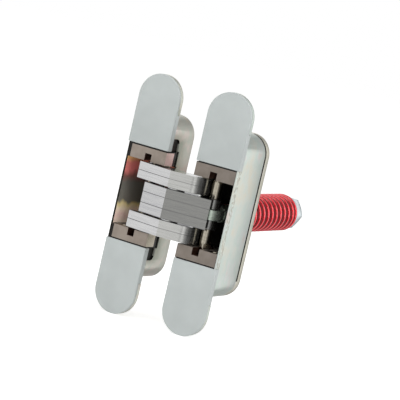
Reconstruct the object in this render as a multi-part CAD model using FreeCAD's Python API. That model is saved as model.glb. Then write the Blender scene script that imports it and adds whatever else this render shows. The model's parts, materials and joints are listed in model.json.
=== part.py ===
import FreeCAD, Part
import math
import os

# Concealed door hinge with a closer spring, in millimetres, standing open a little past flat.
# X runs from the door half to the jamb half, Y runs into the jamb, Z is up.
# The origin is the middle of the jamb half, on the plane where its flanges seat in the jamb.

Vec = FreeCAD.Vector

# Face plates and covers
face_height = 134.0
face_width = 26.2
cover_skin = 1.7
cover_skirt = 1.4
cover_start = 27.0
cover_skirt_end = 47.0
cover_edge_radius = 0.5
flange_thickness = 2.3
fit_gap = 0.1

# Housings
housing_width = 24.6
housing_end_inset = 21.0
housing_corner = 11.5
housing_wall = 0.8
housing_front_setback = 0.4
pocket_half_height = 26.7
jamb_body_depth = 31.7
jamb_pocket_depth = 27.2
lid_thickness = 5.3
lid_seam = 0.9
lid_seam_inset = 1.2
lid_seam_half_height = 34.0
door_body_depth = 25.8
door_pocket_depth = 24.6
cutout_half_height = 34.0
cutout_depth = 11.6
cutout_corner = 3.0
arm_cutout_half_height = 18.9
arm_cutout_depth = 14.0

# Fixing holes in the flanges
fixing_end_inset = 10.0
fixing_hole_radius = 2.4
countersink_radius = 4.4

# Brackets
bracket_inner = 19.0
bracket_outer = 26.6
bracket_side_depth = 10.0
bracket_setback = 0.3
bracket_pin_wall = 3.6
notch_width = 4.2
notch_height = 4.0
bracket_screw_radius = 2.0
bracket_screw_head = 3.5
bracket_screw_head_depth = 2.0
bracket_screw_length = 14.0
bracket_screw_spacing = 12.0
bracket_screw_edge = 1.0
groove_steps = 12

# Lid screws
lid_screw_inset = 8.8
lid_screw_head_depth = 2.0
lid_screw_bite = 4.3
lid_screw_socket = 1.1

# Linkage, measured from the gap edge (across) and from the face (deep)
pivot_across = 4.0
pivot_deep = 9.0
centre_across = -8.8
centre_deep = 2.4
slide_across = 11.7
slide_deep = 9.6
arm_swing = 105.8
over_open = 5.0

# Arms
pin_radius = 2.0
running_clearance = 0.04
sleeve_radius = 3.1
hidden_sleeve_radius = 2.3
hub_radius = 5.4
crest_forward = 5.9
crest_shift = 2.7
facet_slope = 8.0
pivot_reach = 3.6
shoulder_radius = 8.0
square_end_reach = 5.2
square_end_radius = 0.6
square_end_flank = 4.5
tail_eye_radius = 4.0
outer_tail_reach = 3.4
centre_tail_reach = 2.5
pin_notch_clearance = 0.6
pin_notch_lead = 25.0
outer_arm_bottom = 9.1
outer_arm_top = 18.2
washer_between_radius = 5.0
centre_arm_half_height = 8.2
eye_slot_half_height = 3.0
sleeve_end_gap = 0.3

# Closer: rod, spring, washer, nut
rod_radius = 4.9
rod_hole_radius = 5.4
rod_eye_bore = 3.6
rod_eye_radius = 6.2
rod_eye_half_height = 2.7
rod_neck_half_width = 4.3
rod_eye_offset_x = 0.1
rod_eye_offset_y = -0.75
rod_neck_overlap = 2.0
rod_tail = 4.0
rod_tip_chamfer = 1.0
eye_room = 1.2
spring_wire = 3.4
spring_outer_radius = 10.7
spring_turns = 11
spring_length = 68.0
washer_radius = 10.0
washer_thickness = 2.0
nut_across_flats = 17.0
nut_height = 8.4

# Worked out from the sizes above
face_y = -(cover_skin + flange_thickness)
gap_edge = -face_width / 2
housing_half = housing_width / 2
wall_inside = housing_half - housing_wall
housing_height = face_height - 2 * housing_end_inset
fixing_spacing = face_height - 2 * fixing_end_inset
swing = math.radians(arm_swing)
centre_ratio = 2.0 - (180.0 + over_open) / arm_swing
mirror_tilt = math.radians(90.0 - over_open / 2)
screw_x = wall_inside - bracket_screw_head - bracket_screw_edge
lid_screw_height = housing_height / 2 - lid_screw_inset
spring_front = face_y + jamb_body_depth + lid_thickness
spring_back = spring_front + spring_length
rod_end = spring_back + washer_thickness + nut_height + rod_tail
overall = face_height * 2
shapes = {}


def spot(across, deep, z=0.0):
    """A point of the jamb half from its distance across the face and its depth."""
    return Vec(gap_edge + across, face_y + deep, z)


pivot = spot(pivot_across, pivot_deep)
centre = spot(centre_across, centre_deep)
slide = spot(slide_across, slide_deep)
mirror_normal = Vec(math.sin(mirror_tilt), -math.cos(mirror_tilt), 0)


def turned(vector, angle):
    """The vector turned about Z."""
    c = math.cos(angle)
    s = math.sin(angle)
    return Vec(c * vector.x - s * vector.y, s * vector.x + c * vector.y, vector.z)


def to_door(thing):
    """The mirror image of a jamb shape or point in the plane through the centre pin."""
    if isinstance(thing, Vec):
        return thing - mirror_normal * (2 * (thing - centre).dot(mirror_normal))
    return thing.mirror(centre, mirror_normal)


def slide_place(part_of_swing):
    """Where the jamb half's slide pin stands when the arms have swung this share of the way."""
    angle = swing * part_of_swing
    hub = pivot + turned(centre - pivot, angle)
    return hub + turned(slide - centre, angle * (1 - centre_ratio))


def block(x0, x1, y0, y1, z0, z1):
    return Part.makeBox(x1 - x0, y1 - y0, z1 - z0, Vec(x0, y0, z0))


def rod_z(point, radius, z0, z1):
    return Part.makeCylinder(radius, z1 - z0, Vec(point.x, point.y, z0))


def rod_y(x, z, radius, y0, y1):
    return Part.makeCylinder(radius, y1 - y0, Vec(x, y0, z), Vec(0, 1, 0))


def prism(points, z0, z1):
    """A polygon in the XY plane, raised from z0 to z1."""
    wire = Part.makePolygon([Vec(p.x, p.y, z0) for p in points + points[:1]])
    return Part.Face(wire).extrude(Vec(0, 0, z1 - z0))


def slab(half_width, half_height, corner, y0, y1):
    """A plate seen along Y, with four round corners."""
    solid = block(-half_width, half_width, y0, y1, -half_height, half_height)
    upright = [e for e in solid.Edges if abs(e.tangentAt(e.FirstParameter).y) > 0.9]
    return solid.makeFillet(corner, upright)


def joined(solids):
    """One solid from several that overlap, without the seams between them."""
    return solids[0].fuse(solids[1:]).removeSplitter()


def tangent_point(near, near_radius, far, far_radius, side):
    """Where the outer tangent of two circles touches the near one."""
    line = far - near
    lean = math.asin((near_radius - far_radius) / line.Length)
    direction = turned(line, side * (math.pi / 2 - lean))
    return near + direction * (near_radius / line.Length)


def both_ends(make):
    """The same piece made for the top and turned over for the bottom."""
    upper = make()
    lower = upper.mirror(Vec(0, 0, 0), Vec(0, 0, 1))
    return upper, lower


def face_slab(y0, y1, inset=0.0):
    half = face_width / 2 - inset
    return slab(half, face_height / 2 - inset, half - 0.01, y0, y1)


def housing(body_depth, pocket_depth):
    """A cast case with a flange at each end and a pocket for the arms."""
    back = face_y + body_depth
    front = face_y + housing_front_setback
    case = slab(housing_half, housing_height / 2, housing_corner, 0.0, back)
    rim = block(-housing_half, housing_half, front, 1.0, -cover_start, cover_start)
    narrow = face_width / 2 - cover_skirt - fit_gap
    flange = face_slab(face_y + cover_skin, 0.0)
    middle = block(-overall, overall, -overall, overall, -cover_start, cover_start)
    flange = flange.cut(middle)
    tall = cover_skirt_end + fit_gap
    for sign in (-1, 1):
        x0, x1 = sorted((sign * narrow, sign * overall))
        flange = flange.cut(block(x0, x1, -overall, overall, -tall, tall))
    solid = joined([case, rim] + flange.Solids)
    tall = pocket_half_height
    pocket = block(-wall_inside, wall_inside, -overall, face_y + pocket_depth, -tall, tall)
    solid = solid.cut(pocket)
    gap_side = -wall_inside + fit_gap
    tall = cutout_half_height
    opening = block(-overall, gap_side, -overall, face_y + cutout_depth, -tall, tall)
    deep_edges = [
        e for e in opening.Edges
        if abs(e.tangentAt(e.FirstParameter).x) > 0.9 and e.CenterOfMass.y > 0
    ]
    opening = opening.makeFillet(cutout_corner, deep_edges)
    front_strip = block(-overall, overall, -overall, 0.0, cover_start, overall)
    opening = opening.cut([front_strip, front_strip.mirror(Vec(0, 0, 0), Vec(0, 0, 1))])
    tall = arm_cutout_half_height
    arm_opening = block(-overall, gap_side, -overall, face_y + arm_cutout_depth, -tall, tall)
    solid = solid.cut([opening, arm_opening])
    sink_depth = min(countersink_radius - fixing_hole_radius, flange_thickness / 2)
    sink_radius = fixing_hole_radius + sink_depth
    seat_radius = bracket_screw_radius + fit_gap / 2
    for sign in (-1, 1):
        height = sign * fixing_spacing / 2
        mouth = Vec(0, face_y + cover_skin, height)
        hole = rod_y(0, height, fixing_hole_radius, -overall, overall)
        sink = Part.makeCone(sink_radius, fixing_hole_radius, sink_depth, mouth, Vec(0, 1, 0))
        solid = solid.cut([hole, sink])
        for z, y in bracket_screw_places():
            start = Vec(screw_x, y, sign * z)
            solid = solid.cut(Part.makeCylinder(seat_radius, bracket_screw_length, start, Vec(0, 0, sign)))
    return solid


def bracket_screw_places():
    """Where the bracket's two screws start: inner face height and depth."""
    shallow = face_y + bracket_side_depth / 2
    return [(bracket_inner, shallow), (bracket_inner, shallow + bracket_screw_spacing)]


def groove(z0, z1):
    """The slot that the slide pin runs in, open at the front."""
    half = notch_width / 2
    places = [slide_place(step / groove_steps) for step in range(groove_steps + 1)]
    mouth = block(slide.x - half, slide.x + half, -overall, slide.y, z0, z1)
    pieces = [mouth, rod_z(places[0], half, z0, z1)]
    for near, far in zip(places, places[1:]):
        step = far - near
        side = turned(step, math.pi / 2) * (half / step.Length)
        pieces.append(prism([near - side, far - side, far + side, near + side], z0, z1))
        pieces.append(rod_z(far, half, z0, z1))
    return pieces


def bracket(pocket_depth):
    """The upper bearing block: pin bore, slide groove and two screw seats."""
    front = face_y + bracket_setback
    side = face_y + bracket_side_depth
    back = face_y + pocket_depth - fit_gap
    left = pivot.x - bracket_pin_wall
    right = wall_inside - fit_gap
    body = block(left, right, front, side, bracket_inner, bracket_outer)
    tail = block(pivot.x, right, front, back, bracket_inner, bracket_outer)
    eye = rod_z(pivot, bracket_pin_wall, bracket_inner, bracket_outer)
    keep = block(left, right, front, back, bracket_inner, bracket_outer)
    wall_front = face_y + cutout_depth - fit_gap
    wall = block(left - 1, fit_gap - wall_inside, wall_front, back, bracket_inner, bracket_outer)
    solid = joined([body, tail, eye.common(keep)]).cut(wall)
    top = bracket_inner + notch_height
    for cutter in groove(bracket_inner - 1, top):
        solid = solid.cut(cutter)
    solid = solid.cut(rod_z(pivot, pin_radius, bracket_inner - 1, top + 1))
    for z, y in bracket_screw_places():
        start = Vec(screw_x, y, z)
        shank = Part.makeCylinder(bracket_screw_radius + fit_gap / 2, bracket_outer, start)
        head = Part.makeCylinder(bracket_screw_head + fit_gap, bracket_screw_head_depth, start)
        solid = solid.cut([shank, head])
    return solid.removeSplitter()


def bracket_screws():
    """Cap screws that hold both brackets to the case, as one set."""
    screws = []
    for z, y in bracket_screw_places():
        start = Vec(screw_x, y, z)
        head = Part.makeCylinder(bracket_screw_head, bracket_screw_head_depth, start)
        shank = Part.makeCylinder(bracket_screw_radius, bracket_screw_length, start)
        socket = Part.makeCylinder(bracket_screw_head / 2, bracket_screw_head_depth / 2, start)
        screw = joined([head, shank]).cut(socket)
        screws += [screw, screw.mirror(Vec(0, 0, 0), Vec(0, 0, 1))]
    return Part.makeCompound(screws)


def cover():
    """The upper trim cap: a round-ended skin with skirts down its straight sides."""
    skin = face_slab(face_y, face_y + cover_skin)
    rim = [e for e in skin.Edges if e.CenterOfMass.y < face_y + 0.01]
    skin = skin.makeFillet(cover_edge_radius, rim)
    skin = skin.common(block(-overall, overall, -overall, overall, cover_start, overall))
    outside = face_slab(face_y + cover_skin / 2, 0.0)
    hollow = face_slab(face_y + cover_skin / 2, 0.0, cover_skirt)
    skirt = outside.cut(hollow)
    skirt = skirt.common(block(-overall, overall, -overall, overall, cover_start, cover_skirt_end))
    return joined([skin] + skirt.Solids)


def facet_corner(crest, corner_x):
    """Where the facet that falls away from the crest ends."""
    slope = math.tan(math.radians(facet_slope))
    return Vec(corner_x, crest.y + (corner_x - crest.x) * slope, 0)


def pivot_half(crest, reach, eye, radius, z0, z1):
    """The side of an arm from the crest to its fixed pin, in the jamb half."""
    corner = facet_corner(crest, pivot.x + reach)
    back_eye = tangent_point(pivot, eye, centre, hub_radius, -1)
    back_hub = tangent_point(centre, hub_radius, pivot, eye, 1)
    outline = [crest, corner, pivot + Vec(eye, 0, 0), back_eye, back_hub]
    web = prism(outline, z0, z1)
    shoulder = [
        e for e in web.Edges
        if abs(e.CenterOfMass.x - corner.x) < 0.01 and abs(e.CenterOfMass.y - corner.y) < 0.01
        and abs(e.tangentAt(e.FirstParameter).z) > 0.9
    ]
    web = web.makeFillet(radius, shoulder)
    return [web, rod_z(pivot, eye, z0, z1), rod_z(centre, hub_radius, z0, z1)]


def tail_half(crest, reach, z0, z1):
    """The side of an arm from the crest to its slide pin, in the jamb half."""
    corner = facet_corner(crest, slide.x + reach)
    front_eye = tangent_point(slide, tail_eye_radius, corner, 0.0, -1)
    back_eye = tangent_point(slide, tail_eye_radius, centre, hub_radius, -1)
    back_hub = tangent_point(centre, hub_radius, slide, tail_eye_radius, 1)
    outline = [crest, corner, front_eye, back_eye, back_hub]
    web = joined([prism(outline, z0, z1), rod_z(slide, tail_eye_radius, z0, z1)])
    return [web.cut(pin_track(z0 - 1, z1 + 1))]


def pin_track(z0, z1):
    """The room that the other arm's fixed pin sweeps behind a tail."""
    reach = pin_radius + pin_notch_clearance
    arm = (pivot - centre).Length
    start = math.atan2(pivot.y - centre.y, pivot.x - centre.x)
    sweep = arm_swing * centre_ratio + pin_notch_lead
    foot = Vec(centre.x, centre.y, z0)
    ring = Part.makeCylinder(arm + reach, z1 - z0, foot, Vec(0, 0, 1), sweep)
    ring.rotate(foot, Vec(0, 0, 1), math.degrees(start))
    core = rod_z(centre, arm - reach, z0, z1)
    return ring.cut(core).fuse(rod_z(pivot, reach, z0, z1))


def arm_plate(z0, z1, outer, short_tail=False):
    """One lamination of an outer arm, or of the centre arm, with its three bores."""
    crest = centre + Vec(-crest_shift, -crest_forward, 0)
    mirrored_crest = to_door(crest)
    if outer:
        fixed = pivot_half(crest, pivot_reach, pivot_reach, shoulder_radius, z0, z1)
        tail = tail_half(mirrored_crest, outer_tail_reach, z0, z1)
        solids = fixed + [to_door(solid) for solid in tail]
        ends = [pivot, to_door(slide)]
    else:
        fixed = pivot_half(mirrored_crest, square_end_reach, square_end_flank, square_end_radius, z0, z1)
        tail = tail_half(crest, centre_tail_reach, z0, z1)
        if short_tail:
            room = rod_eye_radius + abs(rod_eye_offset_y) + running_clearance + eye_room
            tail = [solid.cut(rod_z(slide, room, z0 - 1, z1 + 1)) for solid in tail]
        solids = [to_door(solid) for solid in fixed] + tail
        ends = [to_door(pivot), slide]
    plate = joined(solids)
    plate = plate.cut(rod_z(centre, pin_radius + running_clearance, z0 - 1, z1 + 1))
    for end in ends:
        plate = plate.cut(rod_z(end, pin_radius + running_clearance, z0 - 1, z1 + 1))
    return max(plate.Solids, key=lambda solid: solid.Volume)


def lid():
    """The jamb case's back lid, with a shadow seam along its straight sides."""
    front = face_y + jamb_body_depth
    back = front + lid_thickness
    plate = slab(housing_half, housing_height / 2, housing_corner, front, back)
    for sign in (-1, 1):
        x0, x1 = sorted((sign * (housing_half - lid_seam_inset), sign * overall))
        seam = block(x0, x1, front - 1, front + lid_seam, -lid_seam_half_height, lid_seam_half_height)
        plate = plate.cut(seam)
    return plate.cut([rod_y(slide.x, 0, rod_hole_radius, -overall, overall)] + lid_screw_cuts())


def lid_screw_shape(height, clearance, tip, back):
    """A countersunk screw's outline, or its seat when it has clearance."""
    neck = back - lid_screw_head_depth
    shank_radius = bracket_screw_radius + clearance / 2
    shank = rod_y(0, height, shank_radius, tip, back - lid_screw_head_depth / 2)
    head_radius = bracket_screw_head + clearance
    head = Part.makeCone(shank_radius, head_radius, lid_screw_head_depth, Vec(0, neck, height), Vec(0, 1, 0))
    return joined([shank, head])


def lid_screw_cuts():
    back = spring_front
    tip = back - lid_thickness - lid_screw_bite - 1
    return [lid_screw_shape(sign * lid_screw_height, fit_gap, tip, back) for sign in (-1, 1)]


def lid_screws():
    """Two countersunk screws that hold the lid, as one set."""
    back = spring_front
    tip = back - lid_thickness - lid_screw_bite
    screws = []
    for sign in (-1, 1):
        height = sign * lid_screw_height
        socket = rod_y(0, height, bracket_screw_radius / 2, back - lid_screw_socket, back + 1)
        screws.append(lid_screw_shape(height, 0.0, tip, back).cut(socket))
    return Part.makeCompound(screws)


def pull_rod():
    """The rod from the slide pin back through the lid, with an eye that lets the pin wander."""
    eye_centre = slide + Vec(rod_eye_offset_x, rod_eye_offset_y, 0)
    eye = rod_z(eye_centre, rod_eye_radius, -rod_eye_half_height, rod_eye_half_height)
    shank_start = eye_centre.y + rod_eye_radius + rod_neck_overlap
    shank = rod_y(slide.x, 0, rod_radius, shank_start, rod_end)
    x0 = slide.x - rod_neck_half_width
    x1 = slide.x + rod_neck_half_width
    tall = rod_eye_half_height
    neck = block(x0, x1, eye_centre.y, shank_start + rod_neck_overlap, -tall, tall)
    round_edges = [e for e in shank.Edges if e.Curve.TypeId == "Part::GeomCircle"]
    tip = [e for e in round_edges if e.CenterOfMass.y > rod_end - 0.01]
    shank = shank.makeChamfer(rod_tip_chamfer, tip)
    solid = joined([eye, neck, shank])
    return solid.cut(rod_z(eye_centre, rod_eye_bore, -overall, overall))


def closer_spring():
    """A round-wire compression spring round the rod."""
    radius = spring_outer_radius - spring_wire / 2
    travel = spring_length - spring_wire - 2 * fit_gap
    helix = Part.makeHelix(travel / spring_turns, travel, radius)
    section = Part.Wire(Part.makeCircle(spring_wire / 2, Vec(radius, 0, 0), Vec(0, 1, 0)))
    coil = Part.Wire(helix.Edges).makePipeShell([section], True, True)
    coil.rotate(Vec(0, 0, 0), Vec(1, 0, 0), -90)
    coil.translate(Vec(slide.x, spring_front + fit_gap + spring_wire / 2, 0))
    return coil


def hexagon_nut():
    """A nut with its outer corners turned off at 45 degrees."""
    start = spring_back + washer_thickness
    end = start + nut_height
    flat = nut_across_flats / 2
    corner = flat / math.cos(math.radians(30))
    angles = [math.radians(60 * step) for step in range(7)]
    corners = [Vec(slide.x + corner * math.cos(a), start, corner * math.sin(a)) for a in angles]
    wire = Part.makePolygon(corners)
    nut = Part.Face(wire).extrude(Vec(0, nut_height, 0))
    turned_length = nut_height * 2
    foot = Vec(slide.x, end - turned_length, 0)
    turned_face = Part.makeCone(flat + turned_length, flat, turned_length, foot, Vec(0, 1, 0))
    return nut.common(turned_face).cut(rod_y(slide.x, 0, rod_radius, -overall, overall))


pin_top = bracket_inner + notch_height
plate_count = 2
plate_step = (outer_arm_top - outer_arm_bottom) / plate_count

jamb_case = housing(jamb_body_depth, jamb_pocket_depth)
jamb_case = jamb_case.cut(rod_y(slide.x, 0, rod_hole_radius, -overall, overall))
shapes["jamb_housing"] = jamb_case.cut(lid_screw_cuts())
shapes["jamb_back_lid"] = lid()
shapes["jamb_lid_screws"] = lid_screws()
shapes["door_housing"] = to_door(housing(door_body_depth, door_pocket_depth))

for name, depth in (("jamb", jamb_pocket_depth), ("door", door_pocket_depth)):
    place = to_door if name == "door" else (lambda thing: thing)
    upper, lower = both_ends(lambda: bracket(depth))
    shapes[name + "_upper_bracket"] = place(upper)
    shapes[name + "_lower_bracket"] = place(lower)
    upper, lower = both_ends(cover)
    shapes[name + "_upper_cover"] = place(upper)
    shapes[name + "_lower_cover"] = place(lower)
    shapes[name + "_bracket_screws"] = place(bracket_screws())

upper, lower = both_ends(lambda: rod_z(pivot, pin_radius, outer_arm_bottom, pin_top + 1))
shapes["jamb_upper_pivot_pin"] = upper
shapes["jamb_lower_pivot_pin"] = lower
shapes["door_pivot_pin"] = rod_z(to_door(pivot), pin_radius, -pin_top - 1, pin_top + 1)

for index, layer in enumerate(("inner", "outer")):
    bottom = outer_arm_bottom + index * plate_step
    upper, lower = both_ends(lambda: arm_plate(bottom, bottom + plate_step, True))
    shapes["upper_arm_" + layer + "_plate"] = upper
    shapes["lower_arm_" + layer + "_plate"] = lower
shapes["centre_pin"] = rod_z(centre, pin_radius, -outer_arm_top, outer_arm_top)
ring = rod_z(centre, washer_between_radius, centre_arm_half_height + running_clearance, outer_arm_bottom)
ring = ring.cut(rod_z(centre, pin_radius, -overall, overall))
shapes["centre_washers"] = Part.makeCompound([ring, ring.mirror(Vec(0, 0, 0), Vec(0, 0, 1))])
pin_reach = pin_top - sleeve_end_gap
shapes["outer_slide_pin"] = rod_z(to_door(slide), pin_radius, -pin_reach, pin_reach)
sleeve = rod_z(to_door(slide), hidden_sleeve_radius, -outer_arm_bottom, outer_arm_bottom)
shapes["outer_slide_sleeve"] = sleeve.cut(rod_z(to_door(slide), pin_radius, -overall, overall))

upper, lower = both_ends(lambda: arm_plate(eye_slot_half_height, centre_arm_half_height, False))
shapes["centre_arm_upper_plate"] = upper
shapes["centre_arm_lower_plate"] = lower
shapes["centre_arm_middle_plate"] = arm_plate(-eye_slot_half_height, eye_slot_half_height, False, True)
shapes["centre_slide_pin"] = rod_z(slide, pin_radius, -pin_reach, pin_reach)
sleeve_top = bracket_inner - sleeve_end_gap
sleeve = rod_z(slide, sleeve_radius, centre_arm_half_height, sleeve_top)
upper, lower = both_ends(lambda: sleeve.cut(rod_z(slide, pin_radius, -overall, overall)))
shapes["centre_slide_upper_sleeve"] = upper
shapes["centre_slide_lower_sleeve"] = lower

shapes["pull_rod"] = pull_rod()
shapes["closer_spring"] = closer_spring()
washer = rod_y(slide.x, 0, washer_radius, spring_back, spring_back + washer_thickness)
shapes["spring_washer"] = washer.cut(rod_y(slide.x, 0, rod_radius, -overall, overall))
shapes["rod_nut"] = hexagon_nut()

os.makedirs("parts", exist_ok=True)
for name, shape in shapes.items():
    shape.exportStep("parts/" + name + ".step")
    sizes = shape.BoundBox
    print(name, len(shape.Solids), shape.isValid(), round(shape.Volume, 2), [
        round(v, 2) for v in (sizes.XMin, sizes.XMax, sizes.YMin, sizes.YMax, sizes.ZMin, sizes.ZMax)
    ])
closed = slide_place(1.0)
print("pivot", pivot, "centre", centre, "slide", slide)
print("door pivot", to_door(pivot), "door origin", to_door(Vec(0, 0, 0)))
print("centre ratio", centre_ratio, "rod metres per radian", (closed.y - slide.y) / swing / 1000)
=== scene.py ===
import json
import math
import bpy
from mathutils import Matrix, Vector


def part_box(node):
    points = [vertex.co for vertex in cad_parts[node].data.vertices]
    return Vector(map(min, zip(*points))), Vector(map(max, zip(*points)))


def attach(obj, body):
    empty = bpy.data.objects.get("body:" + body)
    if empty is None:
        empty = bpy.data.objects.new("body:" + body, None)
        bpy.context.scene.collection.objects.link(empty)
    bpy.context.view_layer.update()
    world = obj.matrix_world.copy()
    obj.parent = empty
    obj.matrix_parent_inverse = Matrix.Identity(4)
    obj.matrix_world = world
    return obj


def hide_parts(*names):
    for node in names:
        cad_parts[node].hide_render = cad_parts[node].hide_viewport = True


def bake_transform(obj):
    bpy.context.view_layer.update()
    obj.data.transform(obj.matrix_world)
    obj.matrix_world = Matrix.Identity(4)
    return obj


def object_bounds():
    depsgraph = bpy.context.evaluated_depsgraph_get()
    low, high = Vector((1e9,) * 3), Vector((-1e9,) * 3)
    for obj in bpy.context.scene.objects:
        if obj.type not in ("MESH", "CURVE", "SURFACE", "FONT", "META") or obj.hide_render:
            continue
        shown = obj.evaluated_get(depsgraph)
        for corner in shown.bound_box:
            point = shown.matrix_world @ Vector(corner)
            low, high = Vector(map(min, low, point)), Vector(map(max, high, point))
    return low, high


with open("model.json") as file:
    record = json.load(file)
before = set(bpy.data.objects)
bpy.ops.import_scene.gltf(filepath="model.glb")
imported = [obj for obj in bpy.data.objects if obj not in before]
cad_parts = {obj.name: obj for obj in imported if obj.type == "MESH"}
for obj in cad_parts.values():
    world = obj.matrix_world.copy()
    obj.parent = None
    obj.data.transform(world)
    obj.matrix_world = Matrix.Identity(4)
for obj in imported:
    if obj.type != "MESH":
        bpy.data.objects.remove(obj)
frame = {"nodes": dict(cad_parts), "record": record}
cadBounds = [list(corner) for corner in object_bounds()]
mm = 0.001

slotOf = {entry["node"]: entry["material_slot"] for entry in frame["record"]["subparts"]}
bodyOf = {}
for bodyName, members in frame["record"]["behaviour"]["bodies"].items():
    for member in members:
        bodyOf[member] = bodyName


def linear(hexColour):
    parts = [int(hexColour[i:i + 2], 16) / 255 for i in (1, 3, 5)]
    return [p / 12.92 if p <= 0.04045 else ((p + 0.055) / 1.055) ** 2.4 for p in parts] + [1.0]


def addNode(tree, kind, settings=None, values=None, links=None):
    node = tree.nodes.new(kind)
    for key, value in (settings or {}).items():
        setattr(node, key, value)
    for key, value in (values or {}).items():
        node.inputs[key].default_value = value
    for key, source in (links or {}).items():
        tree.links.new(source, node.inputs[key])
    return node


def newMaterial(name):
    material = bpy.data.materials.new(name)
    material.use_nodes = True
    material.node_tree.nodes.clear()
    place = addNode(material.node_tree, "ShaderNodeTexCoord").outputs["Object"]
    return material, material.node_tree, place


def blobs(tree, place, sizeMm, stretch=(1, 1, 1), detail=2.0, roughness=0.55):
    # noise whose blobs measure about sizeMm, longer along an axis where stretch is under 1
    mapped = addNode(tree, "ShaderNodeMapping", values={"Scale": stretch}, links={"Vector": place})
    noise = addNode(
        tree, "ShaderNodeTexNoise",
        values={"Scale": 1 / (sizeMm * mm), "Detail": detail, "Roughness": roughness},
        links={"Vector": mapped.outputs["Vector"]},
    )
    return noise.outputs["Fac"]


def setStops(ramp, stops):
    steps = ramp.color_ramp.elements
    while len(steps) < len(stops):
        steps.new(0.5)
    for step, (position, colour) in zip(steps, stops):
        step.position = position
        step.color = colour


def tones(tree, factor, stops, hexColours):
    ramp = addNode(tree, "ShaderNodeValToRGB", links={"Fac": factor})
    setStops(ramp, [(position, linear(hexColour)) for position, hexColour in zip(stops, hexColours)])
    return ramp.outputs["Color"]


noiseBand = (0.3, 0.7)  # where nearly all of a noise's values lie


def between(tree, noise, low, high):
    return addNode(
        tree, "ShaderNodeMapRange",
        values={"From Min": noiseBand[0], "From Max": noiseBand[1], "To Min": low, "To Max": high},
        links={"Value": noise},
    ).outputs["Result"]


def facingAxes(tree):
    # which way the surface faces, in its piece's own axes
    facing = addNode(tree, "ShaderNodeTexCoord").outputs["Normal"]
    return addNode(tree, "ShaderNodeSeparateXYZ", links={"Vector": facing}).outputs


doorPlace = {"xMm": -43.5772, "yMm": 1.9026, "turn": -5.0}


def halfAxes(tree, place, half):
    # coordinates from the middle of a half's own face; the door half stands turned past flat
    if half == "door":
        place = addNode(
            tree, "ShaderNodeMapping", {"vector_type": "TEXTURE"},
            {
                "Location": (doorPlace["xMm"] * mm, doorPlace["yMm"] * mm, 0),
                "Rotation": (0, 0, math.radians(doorPlace["turn"])),
            },
            {"Vector": place},
        ).outputs["Vector"]
    return addNode(tree, "ShaderNodeSeparateXYZ", links={"Vector": place}).outputs


def inBox(tree, axes, box):
    # 1 inside a box of millimetre ranges, 0 outside it
    share = None
    for axis, (low, high) in box.items():
        near = addNode(
            tree, "ShaderNodeMath", {"operation": "COMPARE"}, {1: (low + high) / 2 * mm, 2: (high - low) / 2 * mm},
            {0: axes[axis]},
        ).outputs[0]
        if share is None:
            share = near
        else:
            share = addNode(tree, "ShaderNodeMath", {"operation": "MULTIPLY"}, links={0: share, 1: near}).outputs[0]
    return share


def aboveAndBelow(box):
    low, high = box["Z"]
    return [box, {**box, "Z": (-high, -low)}]


def overlaid(tree, under, over, share):
    return addNode(
        tree, "ShaderNodeMix", {"data_type": "RGBA"}, links={0: share, 6: under, 7: over}
    ).outputs[2]


def painted(tree, under, hexColour, share):
    return addNode(
        tree, "ShaderNodeMix", {"data_type": "RGBA"}, {7: linear(hexColour)}, {0: share, 6: under}
    ).outputs[2]


def paintedBoxes(tree, under, hexColour, axes, boxes):
    for box in boxes:
        under = painted(tree, under, hexColour, inBox(tree, axes, box))
    return under


def finishMaterial(tree, colour, roughness, height, depthMm, values, links=None):
    bump = addNode(
        tree, "ShaderNodeBump", values={"Strength": 1.0, "Distance": depthMm * mm}, links={"Height": height}
    )
    shader = addNode(
        tree, "ShaderNodeBsdfPrincipled", values=values,
        links={"Base Color": colour, "Roughness": roughness, "Normal": bump.outputs["Normal"], **(links or {})},
    )
    addNode(tree, "ShaderNodeOutputMaterial", links={"Surface": shader.outputs["BSDF"]})


# Powder coat on die-cast caps: cool light grey, matte, with a fine orange peel that softens the lamps
powderCoat = {
    "tones": ("#BCC2C1", "#B5BBBA"), "stops": (0.35, 0.7), "driftMm": 14.0, "peelMm": 0.7, "peelDepthMm": 0.004,
    "roughness": (0.42, 0.52), "metallic": 0.0,
}


def greyPowderCoat():
    look = powderCoat
    material, tree, place = newMaterial("matteGreyPowderCoat")
    colour = tones(tree, blobs(tree, place, look["driftMm"]), look["stops"], look["tones"])
    peel = blobs(tree, place, look["peelMm"])
    finishMaterial(
        tree, colour, between(tree, peel, *look["roughness"]), peel, look["peelDepthMm"],
        {"Metallic": look["metallic"]},
    )
    return material


# Zinc plate with a clear chromate: a soft metal that drifts through pale green, straw and rose.
# The pockets and the cut-outs for the brackets carry painted shade, nearly black
zincPlate = {
    "jamb": ("#D6D4C6", "#D1D6CE", "#C9D4CD", "#D2D6D2", "#D5CEC6"),
    "lid": ("#D0CAB9", "#C6C3B5", "#BFBCAD", "#C9C6BB", "#CFC4B8"),
    "door": ("#CFCABA", "#C9C8BE", "#C4C7BC", "#D2CBC2", "#DACBC8"),
    "stops": (0.3, 0.42, 0.52, 0.62, 0.72), "cloudMm": 9.0, "cloudStretch": (1, 1, 0.7), "cloudDetail": 3.5,
    "grainMm": 0.8, "grainDetail": 4.0, "grainDepthMm": 0.004, "roughness": (0.34, 0.46), "metallic": 0.8,
    "paintedShade": "#24221F",
}
# The jamb half's case is rubbed along the pocket's mouth, in speckles over this box
rubbedEdge = {
    "tone": "#ABA799", "speckMm": 1.1, "stretch": (1, 1, 0.6), "detail": 3.0, "from": 0.46, "full": 0.62,
    "box": {"X": (10.5, 14.5), "Y": (-3.0, 1.2), "Z": (-27.5, 27.5)},
}
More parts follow.
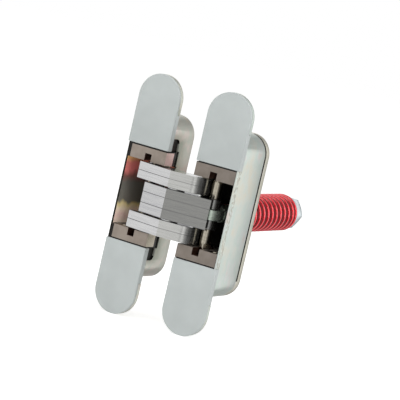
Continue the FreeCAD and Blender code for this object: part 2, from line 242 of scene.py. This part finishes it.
# Painted reflections and shade in the door half's pocket by height in millimetres: cream, dark grey shade, rose and
# amber, with ragged edges
paintedPocketReflections = {
    "tones": {
        -20: "#FFF0DC", -15: "#FAD8CC", -11: "#FFEBD0", -8: "#F0DCA0", -6: "#7E7B73", 4: "#74726B",
        7.5: "#8E605A", 11: "#F28884", 15: "#F08A80", 19: "#FFC884",
    },
    "from": -22.0, "to": 22.0, "raggedMm": 1.4, "blotMm": 8.0, "blotDetail": 1.0,
    "box": {"X": (-11.7, 11.7), "Y": (-3.4, 20.8), "Z": (-19.0, 19.0)},
}
# Boxes of painted shade, with shade and grime in the lid's seam, in each half's own millimetres: x from the middle, y
# from the flange's seat
paintedShadeBoxes = {
    "jamb": [
        {"X": (-11.6, 11.6), "Y": (-5.0, 23.4), "Z": (-27.1, 27.1)},
        {"X": (-12.25, -11.2), "Y": (-5.0, 7.55), "Z": (-34.1, 34.1)},
        {"X": (2.5, 14.0), "Y": (27.1, 28.9), "Z": (-35.0, 50.0)},
    ],
    "door": [
        {"X": (-12.25, 11.6), "Y": (-5.0, -3.0), "Z": (-27.1, 27.1)},
        *aboveAndBelow({"X": (-12.25, 11.6), "Y": (-5.0, 20.8), "Z": (18.9, 27.1)}),
        {"X": (11.2, 12.25), "Y": (-5.0, 7.55), "Z": (-34.1, 34.1)},
        *aboveAndBelow({"X": (12.0, 14.0), "Y": (6.6, 9.2), "Z": (18.5, 27.2)}),
    ],
}


def paintPocketReflections(tree, place, axes, plate):
    # the plate's colour with painted reflections and shade over the pocket, and how metallic it is: the painted
    # pocket isn't
    look = paintedPocketReflections
    low, high = look["from"], look["to"]
    ragged = look["raggedMm"] * mm
    blots = between(tree, blobs(tree, place, look["blotMm"], detail=look["blotDetail"]), -ragged, ragged)
    upward = addNode(tree, "ShaderNodeMath", {"operation": "ADD"}, links={0: axes["Z"], 1: blots}).outputs[0]
    height = addNode(
        tree, "ShaderNodeMapRange", values={"From Min": low * mm, "From Max": high * mm}, links={"Value": upward}
    ).outputs["Result"]
    pocketReflection = tones(tree, height, [(z - low) / (high - low) for z in look["tones"]], look["tones"].values())
    inPocket = inBox(tree, axes, look["box"])
    metallic = addNode(
        tree, "ShaderNodeMapRange", values={"To Min": zincPlate["metallic"], "To Max": 0.0}, links={"Value": inPocket}
    ).outputs["Result"]
    return overlaid(tree, plate, pocketReflection, inPocket), metallic


def rubbedPlate(tree, place, axes, plate):
    look = rubbedEdge
    speckle = addNode(
        tree, "ShaderNodeMapRange", values={"From Min": look["from"], "From Max": look["full"]},
        links={"Value": blobs(tree, place, look["speckMm"], look["stretch"], look["detail"])},
    ).outputs["Result"]
    rub = addNode(
        tree, "ShaderNodeMath", {"operation": "MULTIPLY"}, links={0: speckle, 1: inBox(tree, axes, look["box"])}
    ).outputs[0]
    return painted(tree, plate, look["tone"], rub)


def chromatedZincPlate(name, half, palette):
    look = zincPlate
    material, tree, place = newMaterial(name)
    cloud = blobs(tree, place, look["cloudMm"], look["cloudStretch"], look["cloudDetail"])
    grain = blobs(tree, place, look["grainMm"], detail=look["grainDetail"])
    colour = tones(tree, cloud, look["stops"], look[palette])
    axes = halfAxes(tree, place, half)
    values, links = {"Metallic": look["metallic"]}, {}
    if palette == "door":
        # painted reflections and shade over the door half's pocket
        colour, metallic = paintPocketReflections(tree, place, axes, colour)
        values, links = {}, {"Metallic": metallic}
    if palette == "jamb":
        colour = rubbedPlate(tree, place, axes, colour)
    # painted shade, near black, in the pockets, cut-outs and rims, with shade and grime in the lid's seam
    colour = paintedBoxes(tree, colour, look["paintedShade"], axes, paintedShadeBoxes[half])
    finishMaterial(
        tree, colour, between(tree, grain, *look["roughness"]), grain, look["grainDepthMm"], values, links
    )
    return material


# Satin nickel on a sintered block: warm grey-brown, even, with a fine tooth from blasting. On the door half's
# blocks the side toward the gap is painted lighter as painted light, tinted rose or straw
satinNickel = {
    "jamb": ("#887F77", "#7E756C"), "door": ("#9C9187", "#90857B"), "stops": (0.35, 0.68), "driftMm": 5.0,
    "rose": ("#F2D2CE", "#E6C6C0"), "straw": ("#E2D8C6", "#D2C8B8"), "paintedLightFrom": 0.8, "paintedLightFull": 0.95,
    "toothMm": 0.6, "toothDetail": 3.0, "toothDepthMm": 0.006, "roughness": (0.4, 0.5), "metallic": 0.6,
    "grooveShade": "#4A2E24", "jointShade": "#1A1816",
}
# The boxes of painted shade on a bracket's groove walls, in its half's own millimetres
paintedGrooveShade = {
    "jamb": aboveAndBelow({"X": (-3.6, 0.8), "Y": (-3.5, 30.0), "Z": (19.05, 23.1)}),
    "door": aboveAndBelow({"X": (-0.8, 3.6), "Y": (-3.5, 30.0), "Z": (19.05, 23.1)}),
}
# Painted shade, black, in the joints: a line under each cover, the door blocks' left end, and their right end's back
# part
paintedJointShade = {
    "jamb": aboveAndBelow({"X": (-14.0, 14.0), "Y": (-8.0, 12.0), "Z": (26.25, 26.9)}),
    "door": [
        {"X": (-14.0, 14.0), "Y": (-8.0, 12.0), "Z": (26.15, 26.9)},
        {"X": (-14.0, 14.0), "Y": (-8.0, 12.0), "Z": (-26.9, -26.25)},
        {"X": (-14.0, -10.0), "Y": (-8.0, 12.0), "Z": (-30.0, 30.0)},
        {"X": (11.0, 14.0), "Y": (4.1, 12.0), "Z": (-30.0, 30.0)},
    ],
}


def blastedSatinNickel(name, half, paintedLightTones=None):
    look = satinNickel
    material, tree, place = newMaterial(name)
    tooth = blobs(tree, place, look["toothMm"], detail=look["toothDetail"])
    colour = tones(tree, blobs(tree, place, look["driftMm"]), look["stops"], look[half])
    # painted light: the side toward the gap is made lighter, in rose or straw
    if paintedLightTones:
        share = addNode(
            tree, "ShaderNodeMapRange", values={"From Min": look["paintedLightFrom"], "From Max": look["paintedLightFull"]},
            links={"Value": facingAxes(tree)["X"]},
        ).outputs["Result"]
        colour = overlaid(tree, colour, tones(tree, tooth, noiseBand, look[paintedLightTones]), share)
    axes = halfAxes(tree, place, half)
    # painted shade on the groove walls
    colour = paintedBoxes(tree, colour, look["grooveShade"], axes, paintedGrooveShade[half])
    # painted shade in the joints, black
    colour = paintedBoxes(tree, colour, look["jointShade"], axes, paintedJointShade[half])
    finishMaterial(
        tree, colour, between(tree, tooth, *look["roughness"]), tooth, look["toothDepthMm"],
        {"Metallic": look["metallic"]},
    )
    return material


# Steel plate brushed along its edge: lines run along the arm (drawn twice as coarse as real to show).
# The facets toward the jamb half are painted darker as shade, the centre arm's most. Tones: line, bright
brushedSteel = {
    "outer": {"plate": ("#C4C4C5", "#CFCFCF"), "shadedFacet": ("#BBBBB8", "#C7C7C4")},
    "centre": {"plate": ("#BABABC", "#C6C6C6"), "shadedFacet": ("#8A8A88", "#939390")},
    "stops": (0.36, 0.6), "lineMm": 0.5, "lineLengthMm": 12.0, "lineDetail": 3.0, "lineDepthMm": 0.003,
    "roughness": (0.16, 0.26), "metallic": 0.95, "shadedFacetFrom": -0.02, "shadedFacetFull": 0.08,
    "seam": "#606062", "seamMm": 0.16, "shadedFacetSeam": 0.55,
}
armPlates = [nodeName for nodeName, slot in slotOf.items() if slot == "brushed_arm"]
plateSeams = sorted({round(corner.z, 6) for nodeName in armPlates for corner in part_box(nodeName)})


def brushedSteelPlate(name, arm):
    look = brushedSteel
    material, tree, place = newMaterial(name)
    alongArm = look["lineMm"] / look["lineLengthMm"]
    lines = blobs(tree, place, look["lineMm"], (alongArm, alongArm, 1), look["lineDetail"])
    plate, shadedFacet = (tones(tree, lines, look["stops"], look[arm][part]) for part in ("plate", "shadedFacet"))
    onShadedFacet = addNode(
        tree, "ShaderNodeMapRange", values={"From Min": look["shadedFacetFrom"], "From Max": look["shadedFacetFull"]},
        links={"Value": facingAxes(tree)["X"]},
    ).outputs["Result"]
    # facets toward the jamb half painted darker as shade
    colour = overlaid(tree, plate, shadedFacet, onShadedFacet)
    seamStrength = addNode(
        tree, "ShaderNodeMapRange", values={"To Min": 1.0, "To Max": look["shadedFacetSeam"]}, links={"Value": onShadedFacet}
    ).outputs["Result"]
    upward = addNode(tree, "ShaderNodeSeparateXYZ", links={"Vector": place}).outputs["Z"]
    for height in plateSeams[1:-1]:
        near = addNode(
            tree, "ShaderNodeMath", {"operation": "COMPARE"}, {1: height, 2: look["seamMm"] * mm}, {0: upward}
        ).outputs[0]
        share = addNode(
            tree, "ShaderNodeMath", {"operation": "MULTIPLY"}, links={0: near, 1: seamStrength}
        ).outputs[0]
        colour = painted(tree, colour, look["seam"], share)
    finishMaterial(
        tree, colour, between(tree, lines, *look["roughness"]), lines, look["lineDepthMm"],
        {"Metallic": look["metallic"]},
    )
    return material


# Ground steel pin: bright, with faint rings from the grinding wheel. Tones: ring, bright
groundSteel = {
    "tones": ("#ADA696", "#BDB6A6"), "stops": (0.36, 0.6), "ringMm": 0.5, "ringStretch": (0.05, 0.05, 1),
    "ringDepthMm": 0.0006, "roughness": (0.16, 0.22), "metallic": 1.0,
}


def groundSteelPin():
    look = groundSteel
    material, tree, place = newMaterial("groundSteelPin")
    rings = blobs(tree, place, look["ringMm"], look["ringStretch"])
    colour = tones(tree, rings, look["stops"], look["tones"])
    finishMaterial(
        tree, colour, between(tree, rings, *look["roughness"]), rings, look["ringDepthMm"],
        {"Metallic": look["metallic"]},
    )
    return material


# Clear red enamel on bright spring wire: wet gloss that the steel shines through, and maroon painted shade
# between the turns
springEnamel = {
    "outside": ("#E81428", "#D60C1E"), "stops": (0.35, 0.72), "driftMm": 5.0,
    "between": "#7C0006", "shadeBetweenFrom": 0.52, "shadeBetweenFull": 0.9,
    "metallic": 0.5, "specular": 0.1, "sagMm": 2.6, "sagDepthMm": 0.0015, "roughness": (0.24, 0.32),
    "coat": 1.0, "coatIor": 1.6, "coatRoughness": 0.05,
}


def redSpringEnamel():
    look = springEnamel
    material, tree, place = newMaterial("redSpringEnamel")
    sag = blobs(tree, place, look["sagMm"])
    colour = tones(tree, blobs(tree, place, look["driftMm"]), look["stops"], look["outside"])
    steep = addNode(
        tree, "ShaderNodeMath", {"operation": "ABSOLUTE"}, links={0: facingAxes(tree)["Y"]}
    ).outputs[0]
    share = addNode(
        tree, "ShaderNodeMapRange", values={"From Min": look["shadeBetweenFrom"], "From Max": look["shadeBetweenFull"]},
        links={"Value": steep},
    ).outputs["Result"]
    # maroon painted shade where the wire faces the next turns
    colour = painted(tree, colour, look["between"], share)
    finishMaterial(
        tree, colour, between(tree, sag, *look["roughness"]), sag, look["sagDepthMm"],
        {
            "Metallic": look["metallic"], "Specular IOR Level": look["specular"], "Coat Weight": look["coat"],
            "Coat Roughness": look["coatRoughness"], "Coat IOR": look["coatIor"],
        },
    )
    return material


# Bright zinc on turned steel: bluish white on the nut, greener on the rod
turnedZinc = {
    "nut": ("#EEF6F8", "#DDE6E9"), "rod": ("#D2DED1", "#B8C6B8"), "stops": (0.35, 0.7), "driftMm": 4.0,
    "grainMm": 0.9, "grainDetail": 3.0, "grainDepthMm": 0.006, "roughness": (0.24, 0.38), "metallic": 0.85,
}


def brightZinc(name, part):
    look = turnedZinc
    material, tree, place = newMaterial(name)
    grain = blobs(tree, place, look["grainMm"], detail=look["grainDetail"])
    colour = tones(tree, blobs(tree, place, look["driftMm"]), look["stops"], look[part])
    finishMaterial(
        tree, colour, between(tree, grain, *look["roughness"]), grain, look["grainDepthMm"],
        {"Metallic": look["metallic"]},
    )
    return material


# A piece takes its slot's finish, apart from those that have one of their own
finishOf = {
    "cover_paint": greyPowderCoat(),
    "zinc_case": chromatedZincPlate("chromatedZincPlate", "jamb", "jamb"),
    "satin_bracket": blastedSatinNickel("blastedSatinNickel", "jamb"),
    "brushed_arm": brushedSteelPlate("brushedSteelPlate", "outer"),
    "bright_pin": groundSteelPin(),
    "red_spring": redSpringEnamel(),
    "zinc_fastener": brightZinc("bluishZincNut", "nut"),
}
# centre arm, its facets painted darkest as shade
shadedFacetArm = brushedSteelPlate("brushedSteelPlatePaintedShadeFacet", "centre")
ownFinish = {
    "pull_rod": brightZinc("greenishZincRod", "rod"),
    "door_housing": chromatedZincPlate("zincPlatePaintedPocketReflections", "door", "door"),
    "jamb_back_lid": chromatedZincPlate("strawZincPlate", "jamb", "lid"),
    # door blocks with painted light on the side toward the gap
    "door_upper_bracket": blastedSatinNickel("satinNickelPaintedLightRose", "door", "rose"),
    "door_lower_bracket": blastedSatinNickel("satinNickelPaintedLightStraw", "door", "straw"),
    "centre_washers": finishOf["brushed_arm"],
    "centre_arm_upper_plate": shadedFacetArm, "centre_arm_middle_plate": shadedFacetArm, "centre_arm_lower_plate": shadedFacetArm,
}
print("materials:", len({*finishOf.values(), *ownFinish.values()}))


def settle(piece, nodeName):
    # finish, slot and the solid that the piece stands for
    piece.data.materials.clear()
    piece.data.materials.append(ownFinish.get(nodeName, finishOf[slotOf[nodeName]]))
    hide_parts(nodeName)


# Broken edges: the bevel in millimetres by finish (tumbled plates, painted caps, cast cases). Faces that turn
# by less than "flat" degrees merge, edges over "sharp" are broken, and those under "smooth" shade as one
edgeBreak = {
    "bevelMm": {
        "cover_paint": 0.35, "zinc_case": 0.3, "satin_bracket": 0.18, "brushed_arm": 0.16, "bright_pin": 0.2,
        "zinc_fastener": 0.25,
    },
    "segments": 2, "mergeMm": 0.002, "flat": 0.6, "sharp": 38, "smooth": 30, "armSmooth": 12,
}


def brokenEdges(nodeName):
    # the solid's own faces, merged, with a small bevel on every sharp edge
    look, slot = edgeBreak, slotOf[nodeName]
    solid = frame["nodes"][nodeName]
    piece = bpy.data.objects.new("finished_" + nodeName, solid.data.copy())
    bpy.context.scene.collection.objects.link(piece)
    bpy.ops.object.select_all(action="DESELECT")
    piece.select_set(True)
    bpy.context.view_layer.objects.active = piece
    bpy.ops.object.mode_set(mode="EDIT")
    bpy.ops.mesh.select_all(action="SELECT")
    bpy.ops.mesh.remove_doubles(threshold=look["mergeMm"] * mm)
    bpy.ops.mesh.dissolve_limited(angle_limit=math.radians(look["flat"]))
    bpy.ops.object.mode_set(mode="OBJECT")
    bevel = piece.modifiers.new("broken edges", "BEVEL")
    bevel.width = look["bevelMm"][slot] * mm
    bevel.segments = look["segments"]
    bevel.limit_method = "ANGLE"
    bevel.angle_limit = math.radians(look["sharp"])
    bpy.ops.object.modifier_apply(modifier=bevel.name)
    smooth = look["armSmooth"] if slot == "brushed_arm" else look["smooth"]
    bpy.ops.object.shade_smooth_by_angle(angle=math.radians(smooth))
    settle(piece, nodeName)
    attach(piece, bodyOf[nodeName])


solids = [nodeName for nodeName in sorted(slotOf) if nodeName != "closer_spring"]
for nodeName in solids:
    brokenEdges(nodeName)
print("solids finished:", len(solids))

# Closer spring: round wire, a turn at each end wound close and ground flat
coil = {
    "wireMm": 3.4, "turns": 12.4, "closedTurns": 1, "closedPitchMm": 3.5, "wireSides": 24, "stepsPerTurn": 64,
    "smooth": 40,
}


def closerSpring():
    low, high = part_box("closer_spring")
    middle = (low + high) / 2
    wire = coil["wireMm"] * mm
    radius = (high.x - low.x) / 2 - wire / 2
    length = high.y - low.y
    closedPitch = coil["closedPitchMm"] * mm
    openTurns = coil["turns"] - 2 * coil["closedTurns"]
    openPitch = (length - 2 * coil["closedTurns"] * closedPitch) / openTurns
    bpy.ops.object.select_all(action="DESELECT")
    bpy.ops.mesh.primitive_circle_add(vertices=coil["wireSides"], radius=wire / 2, location=(radius, 0, 0))
    piece = bpy.context.object
    piece.name = "enamelledSpring"
    bpy.ops.object.transform_apply(location=True, rotation=True, scale=True)
    winding = piece.modifiers.new("winding", "SCREW")
    winding.axis = "Y"
    winding.angle = coil["turns"] * math.tau
    winding.screw_offset = length
    winding.steps = winding.render_steps = int(coil["turns"] * coil["stepsPerTurn"])
    bpy.ops.object.modifier_apply(modifier=winding.name)
    for index, vertex in enumerate(piece.data.vertices):
        turn = index // coil["wireSides"] / coil["stepsPerTurn"]
        openBefore = min(max(turn - coil["closedTurns"], 0), openTurns)
        closedBefore = turn - openBefore
        vertex.co.y += closedBefore * closedPitch + openBefore * openPitch - turn * length / coil["turns"]
    piece.location = (middle.x, low.y, middle.z)
    bpy.ops.object.transform_apply(location=True, rotation=True, scale=True)
    bpy.ops.object.mode_set(mode="EDIT")
    bpy.ops.mesh.select_all(action="DESELECT")
    bpy.ops.mesh.select_mode(type="EDGE")
    bpy.ops.mesh.select_non_manifold()
    bpy.ops.mesh.edge_face_add()
    for end, side in ((low.y, -1), (high.y, 1)):
        bpy.ops.mesh.select_all(action="SELECT")
        bpy.ops.mesh.bisect(plane_co=(0, end, 0), plane_no=(0, side, 0), clear_outer=True, use_fill=True)
    bpy.ops.mesh.select_all(action="SELECT")
    bpy.ops.mesh.normals_make_consistent(inside=False)
    bpy.ops.object.mode_set(mode="OBJECT")
    bpy.ops.object.shade_smooth_by_angle(angle=math.radians(coil["smooth"]))
    settle(piece, "closer_spring")
    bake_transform(piece)


closerSpring()
print("spring wound")

floorLook = {"sizeM": 6.0, "tone": "#F2F2F1", "lift": 0.52}


def paleFloor():
    bpy.ops.object.select_all(action="DESELECT")
    bpy.ops.mesh.primitive_plane_add(size=floorLook["sizeM"], location=(0, 0, cadBounds[0][2]))
    floor = bpy.context.object
    floor.name = "paleFloor"
    bpy.ops.object.transform_apply(location=True, rotation=True, scale=True)
    material, tree, _ = newMaterial("paleStudioFloor")
    diffuse = addNode(tree, "ShaderNodeBsdfDiffuse", values={"Color": linear(floorLook["tone"])})
    rays = addNode(tree, "ShaderNodeLightPath").outputs
    lift = addNode(
        tree, "ShaderNodeMath", {"operation": "MULTIPLY"}, {1: floorLook["lift"]}, {0: rays["Is Camera Ray"]}
    )
    glow = addNode(tree, "ShaderNodeEmission", links={"Strength": lift.outputs[0]})
    both = addNode(tree, "ShaderNodeAddShader", links={0: diffuse.outputs[0], 1: glow.outputs[0]})
    addNode(tree, "ShaderNodeOutputMaterial", links={"Surface": both.outputs[0]})
    floor.data.materials.append(material)
    floor.visible_glossy = False  # the metals mirror the room's walls in its place


# Even room light: plain grey where it lights, white where the camera sees it. What the metals mirror is its walls,
# in shares of white by degrees to the right of straight ahead of the faces
roomLight = {
    "fill": 0.54, "seen": 1.0,
    "walls": {
        -180: 0.25, -170: 0.25, -158: 1.0, -32: 1.0, -24: 0.93, -16: 0.95, -6: 0.93, 2: 0.7, 9: 0.6, 14: 1.0,
        28: 1.0, 36: 0.4, 48: 0.3, 62: 0.08, 90: 0.08, 100: 1.0, 164: 1.0, 172: 0.25, 180: 0.25,
    },
}


def studioRoom():
    look = roomLight
    world = bpy.data.worlds.new("whiteStudioRoom")
    world.use_nodes = True
    tree = world.node_tree
    tree.nodes.clear()
    rays = addNode(tree, "ShaderNodeLightPath").outputs
    seen = rays["Is Camera Ray"]
    for kind in ("Is Glossy Ray", "Is Transmission Ray"):
        seen = addNode(tree, "ShaderNodeMath", {"operation": "MAXIMUM"}, links={0: seen, 1: rays[kind]}).outputs[0]
    strength = addNode(
        tree, "ShaderNodeMapRange", values={"To Min": look["fill"], "To Max": look["seen"]}, links={"Value": seen}
    ).outputs["Result"]
    direction = addNode(tree, "ShaderNodeTexCoord").outputs["Generated"]
    toward = addNode(tree, "ShaderNodeSeparateXYZ", links={"Vector": direction}).outputs
    ahead = addNode(tree, "ShaderNodeMath", {"operation": "MULTIPLY"}, {1: -1.0}, {0: toward["Y"]}).outputs[0]
    angle = addNode(
        tree, "ShaderNodeMath", {"operation": "ARCTAN2"}, links={0: toward["X"], 1: ahead}
    ).outputs[0]
    turn = addNode(
        tree, "ShaderNodeMapRange", values={"From Min": -math.pi, "From Max": math.pi}, links={"Value": angle}
    ).outputs["Result"]
    walls = addNode(tree, "ShaderNodeValToRGB", links={"Fac": turn})
    setStops(walls, [(degrees / 360 + 0.5, (share, share, share, 1)) for degrees, share in look["walls"].items()])
    colour = addNode(
        tree, "ShaderNodeMix", {"data_type": "RGBA"}, {6: (1, 1, 1, 1)},
        {0: rays["Is Glossy Ray"], 7: walls.outputs["Color"]},
    ).outputs[2]
    room = addNode(tree, "ShaderNodeBackground", links={"Color": colour, "Strength": strength})
    addNode(tree, "ShaderNodeOutputWorld", links={"Surface": room.outputs[0]})
    bpy.context.scene.world = world


# Softboxes: the place each stands at and its size in metres, its watts, and whether the metals mirror it
softboxes = {
    "leftKey": {"at": (-0.73, -0.82, 0.16), "size": (0.9, 1.2), "watts": 3.8, "mirrored": False},
    "rightKey": {"at": (0.85, -0.75, 0.2), "size": (0.6, 0.9), "watts": 3.0, "mirrored": False},
    "topFill": {"at": (0.1, -0.35, 1.0), "size": (0.8, 0.8), "watts": 3.8, "mirrored": True},
    "rightFill": {"at": (1.0, 0.2, 0.2), "size": (0.5, 0.9), "watts": 3.0, "mirrored": True},
}


def softbox(name, look):
    lamp = bpy.data.lights.new(name, "AREA")
    lamp.shape = "RECTANGLE"
    lamp.size, lamp.size_y = look["size"]
    lamp.energy = look["watts"]
    box = bpy.data.objects.new(name, lamp)
    bpy.context.scene.collection.objects.link(box)
    box.visible_glossy = look["mirrored"]
    box.location = look["at"]
    box.rotation_euler = (-Vector(look["at"])).to_track_quat("-Z", "Y").to_euler()


# The photograph's view, found from the corners of both face plates: degrees, metres and pixels
viewpoint = {
    "azimuth": 24.5, "elevation": 6.47, "roll": 13.08, "distance": 1.1518, "focalPixels": 2149.3,
    "across": 0.00501, "upward": -0.00788, "sensorMm": 36.0, "framePixels": 400, "clipEnd": 50,
}


def photoCamera():
    look = viewpoint
    azimuth, elevation, roll = (math.radians(look[key]) for key in ("azimuth", "elevation", "roll"))
    back = Vector((
        math.sin(azimuth) * math.cos(elevation), -math.cos(azimuth) * math.cos(elevation), math.sin(elevation)
    ))
    level = Vector((math.cos(azimuth), math.sin(azimuth), 0))
    upright = back.cross(level)
    right = math.cos(roll) * level + math.sin(roll) * upright
    up = math.cos(roll) * upright - math.sin(roll) * level
    view = bpy.data.cameras.new("photoView")
    view.sensor_width = look["sensorMm"]
    view.lens = look["focalPixels"] / look["framePixels"] * look["sensorMm"]
    view.clip_end = look["clipEnd"]
    camera = bpy.data.objects.new("photoView", view)
    bpy.context.scene.collection.objects.link(camera)
    place = back * look["distance"] - right * look["across"] - up * look["upward"]
    turn = Matrix((right, up, back)).transposed().to_4x4()
    camera.matrix_world = Matrix.Translation(place) @ turn
    bpy.context.scene.camera = camera


paleFloor()
studioRoom()
for name, look in softboxes.items():
    softbox(name, look)
photoCamera()
bpy.context.scene.view_settings.view_transform = "Standard"
print("studio set")
